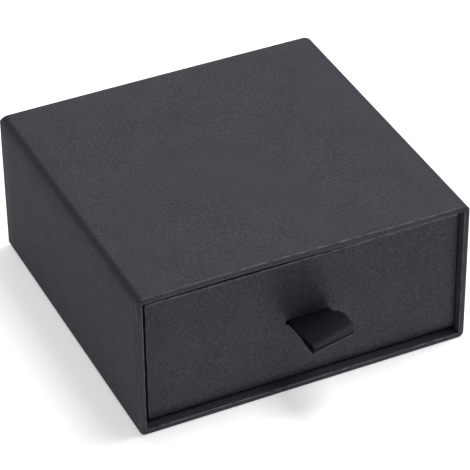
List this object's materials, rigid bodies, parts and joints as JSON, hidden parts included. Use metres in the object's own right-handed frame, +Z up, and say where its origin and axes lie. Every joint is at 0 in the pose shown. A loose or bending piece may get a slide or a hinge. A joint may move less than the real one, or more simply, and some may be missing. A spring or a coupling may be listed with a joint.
{
  "type": "sliding drawer gift box",
  "caption": "Square rigid board sleeve, closed at the back, with a drawer that slides out of its open front on a ribbon loop pull.",
  "frame": {"origin": "centre of the sleeve's underside, which is the face that the box rests on", "axes": "+Z up, -Y out of the open front, the way the drawer slides, +X to the right seen from the front"},
  "size_m": [0.092, 0.1026, 0.042],
  "materials": {
    "greyboard": "rough pressed grey recycled board",
    "wrap_paper": "matt uncoated charcoal covering paper with a fine fibre grain",
    "liner_paper": "matt uncoated charcoal lining paper",
    "gummed_tape": "brown kraft paper tape",
    "satin_ribbon": "black woven satin with a soft sheen"
  },
  "bodies": {
    "sleeve": {"sleeve_top_panel": "greyboard", "sleeve_bottom_panel": "greyboard", "sleeve_left_panel": "greyboard", "sleeve_right_panel": "greyboard", "sleeve_back_panel": "greyboard", "sleeve_seam_tape": "gummed_tape", "sleeve_back_side_tapes": "gummed_tape", "sleeve_back_bottom_tape": "gummed_tape", "sleeve_wrap": "wrap_paper", "sleeve_underside_flap": "wrap_paper", "sleeve_liner": "liner_paper", "sleeve_back_liner": "liner_paper", "sleeve_back_sheet": "wrap_paper"},
    "drawer": {"tray_base_board": "greyboard", "tray_front_board": "greyboard", "tray_back_board": "greyboard", "tray_left_board": "greyboard", "tray_right_board": "greyboard", "tray_corner_stays": "gummed_tape", "tray_wrap": "wrap_paper", "tray_wall_liner": "liner_paper", "tray_floor_liner": "liner_paper", "ribbon_tails": "satin_ribbon"},
    "pull": {"ribbon_loop": "satin_ribbon"}
  },
  "joints": [
    {"name": "drawer_slide", "type": "slide", "parent": "sleeve", "child": "drawer", "axis": [0, -1, 0], "range_m": [0, 0.09]},
    {"name": "ribbon_swing", "type": "hinge", "parent": "drawer", "child": "pull", "pos_m": [0.0018, -0.0431, 0.01992], "axis": [-1, 0, 0], "range_deg": [-75, 40], "stiffness_Nm_per_rad": 0.00005}
  ]
}
